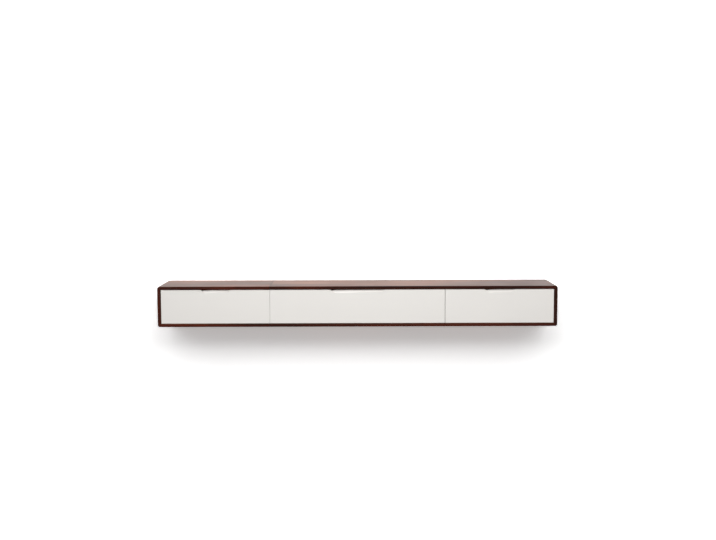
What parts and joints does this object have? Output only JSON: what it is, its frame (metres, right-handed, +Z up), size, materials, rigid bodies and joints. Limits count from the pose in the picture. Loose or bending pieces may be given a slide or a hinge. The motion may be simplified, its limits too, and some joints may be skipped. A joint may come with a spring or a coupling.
{
  "type": "floating media console",
  "caption": "Long, low wall-hung media console with a dark walnut frame and white inset drawer fronts that have slanted finger pulls, on telescopic runners.",
  "frame": {"origin": "middle of the wall rail's row of screw holes, on the wall plane", "axes": "+X to the viewer's right along the console, +Y into the wall, +Z up"},
  "size_m": [2.4, 0.35, 0.244],
  "materials": {
    "walnut_veneer": "satin gloss lacquered dark walnut veneer",
    "white_lacquer": "warm white satin lacquer on fibreboard",
    "dark_board": "dark melamine-faced board",
    "birch_board": "clear lacquered birch plywood",
    "beech": "raw beech",
    "rail_aluminium": "mill-finish extrusion",
    "zinc_steel": "bright zinc plating",
    "runner_steel": "zinc-plated cold-rolled steel",
    "cage_steel": "pressed spring-steel strip",
    "grommet_plastic": "black moulded plastic",
    "buffer_elastomer": "clear soft polyurethane"
  },
  "bodies": {
    "carcass": {"top_panel_left": "walnut_veneer", "top_panel_right": "walnut_veneer", "bottom_panel_left": "walnut_veneer", "bottom_panel_right": "walnut_veneer", "side_panel_left": "walnut_veneer", "side_panel_right": "walnut_veneer", "module_side_left": "dark_board", "module_side_right": "dark_board", "divider_panel": "dark_board", "back_panel_left": "dark_board", "back_panel_right": "dark_board", "mitre_splines": "beech", "hanging_rail_left": "rail_aluminium", "hanging_rail_right": "rail_aluminium", "wall_rail": "rail_aluminium", "module_bolts": "zinc_steel", "cable_grommet": "grommet_plastic", "front_buffers": "buffer_elastomer", "left_runner_outer_left": "runner_steel", "left_runner_outer_right": "runner_steel", "centre_runner_outer_left": "runner_steel", "centre_runner_outer_right": "runner_steel", "right_runner_outer_left": "runner_steel", "right_runner_outer_right": "runner_steel"},
    "left_drawer": {"left_drawer_front": "white_lacquer", "left_box_side_left": "birch_board", "left_box_side_right": "birch_board", "left_box_front": "birch_board", "left_box_back": "birch_board", "left_box_base": "birch_board", "left_runner_inner_left": "runner_steel", "left_runner_inner_right": "runner_steel"},
    "left_runner_middles": {"left_runner_middle_left": "runner_steel", "left_runner_middle_right": "runner_steel"},
    "left_outer_cages": {"left_ball_cages_outer": "cage_steel"},
    "left_inner_cages": {"left_ball_cages_inner": "cage_steel"},
    "centre_drawer": {"centre_drawer_front": "white_lacquer", "centre_box_side_left": "birch_board", "centre_box_side_right": "birch_board", "centre_box_front": "birch_board", "centre_box_back": "birch_board", "centre_box_base": "birch_board", "centre_runner_inner_left": "runner_steel", "centre_runner_inner_right": "runner_steel"},
    "centre_runner_middles": {"centre_runner_middle_left": "runner_steel", "centre_runner_middle_right": "runner_steel"},
    "centre_outer_cages": {"centre_ball_cages_outer": "cage_steel"},
    "centre_inner_cages": {"centre_ball_cages_inner": "cage_steel"},
    "right_drawer": {"right_drawer_front": "white_lacquer", "right_box_side_left": "birch_board", "right_box_side_right": "birch_board", "right_box_front": "birch_board", "right_box_back": "birch_board", "right_box_base": "birch_board", "right_runner_inner_left": "runner_steel", "right_runner_inner_right": "runner_steel"},
    "right_runner_middles": {"right_runner_middle_left": "runner_steel", "right_runner_middle_right": "runner_steel"},
    "right_outer_cages": {"right_ball_cages_outer": "cage_steel"},
    "right_inner_cages": {"right_ball_cages_inner": "cage_steel"}
  },
  "joints": [
    {"name": "left_drawer_slide", "type": "slide", "parent": "carcass", "child": "left_drawer", "axis": [0, -1, 0], "range_m": [0, 0.25]},
    {"name": "left_runner_middles_slide", "type": "slide", "parent": "carcass", "child": "left_runner_middles", "axis": [0, -1, 0], "range_m": [0, 0.125]},
    {"name": "left_outer_cages_slide", "type": "slide", "parent": "carcass", "child": "left_outer_cages", "axis": [0, -1, 0], "range_m": [0, 0.0625]},
    {"name": "left_inner_cages_slide", "type": "slide", "parent": "carcass", "child": "left_inner_cages", "axis": [0, -1, 0], "range_m": [0, 0.1875]},
    {"name": "centre_drawer_slide", "type": "slide", "parent": "carcass", "child": "centre_drawer", "axis": [0, -1, 0], "range_m": [0, 0.25]},
    {"name": "centre_runner_middles_slide", "type": "slide", "parent": "carcass", "child": "centre_runner_middles", "axis": [0, -1, 0], "range_m": [0, 0.125]},
    {"name": "centre_outer_cages_slide", "type": "slide", "parent": "carcass", "child": "centre_outer_cages", "axis": [0, -1, 0], "range_m": [0, 0.0625]},
    {"name": "centre_inner_cages_slide", "type": "slide", "parent": "carcass", "child": "centre_inner_cages", "axis": [0, -1, 0], "range_m": [0, 0.1875]},
    {"name": "right_drawer_slide", "type": "slide", "parent": "carcass", "child": "right_drawer", "axis": [0, -1, 0], "range_m": [0, 0.25]},
    {"name": "right_runner_middles_slide", "type": "slide", "parent": "carcass", "child": "right_runner_middles", "axis": [0, -1, 0], "range_m": [0, 0.125]},
    {"name": "right_outer_cages_slide", "type": "slide", "parent": "carcass", "child": "right_outer_cages", "axis": [0, -1, 0], "range_m": [0, 0.0625]},
    {"name": "right_inner_cages_slide", "type": "slide", "parent": "carcass", "child": "right_inner_cages", "axis": [0, -1, 0], "range_m": [0, 0.1875]}
  ],
  "couplings": [
    {"joint": "left_runner_middles_slide", "follows": "left_drawer_slide", "ratio": 0.5},
    {"joint": "left_outer_cages_slide", "follows": "left_drawer_slide", "ratio": 0.25},
    {"joint": "left_inner_cages_slide", "follows": "left_drawer_slide", "ratio": 0.75},
    {"joint": "centre_runner_middles_slide", "follows": "centre_drawer_slide", "ratio": 0.5},
    {"joint": "centre_outer_cages_slide", "follows": "centre_drawer_slide", "ratio": 0.25},
    {"joint": "centre_inner_cages_slide", "follows": "centre_drawer_slide", "ratio": 0.75},
    {"joint": "right_runner_middles_slide", "follows": "right_drawer_slide", "ratio": 0.5},
    {"joint": "right_outer_cages_slide", "follows": "right_drawer_slide", "ratio": 0.25},
    {"joint": "right_inner_cages_slide", "follows": "right_drawer_slide", "ratio": 0.75}
  ]
}
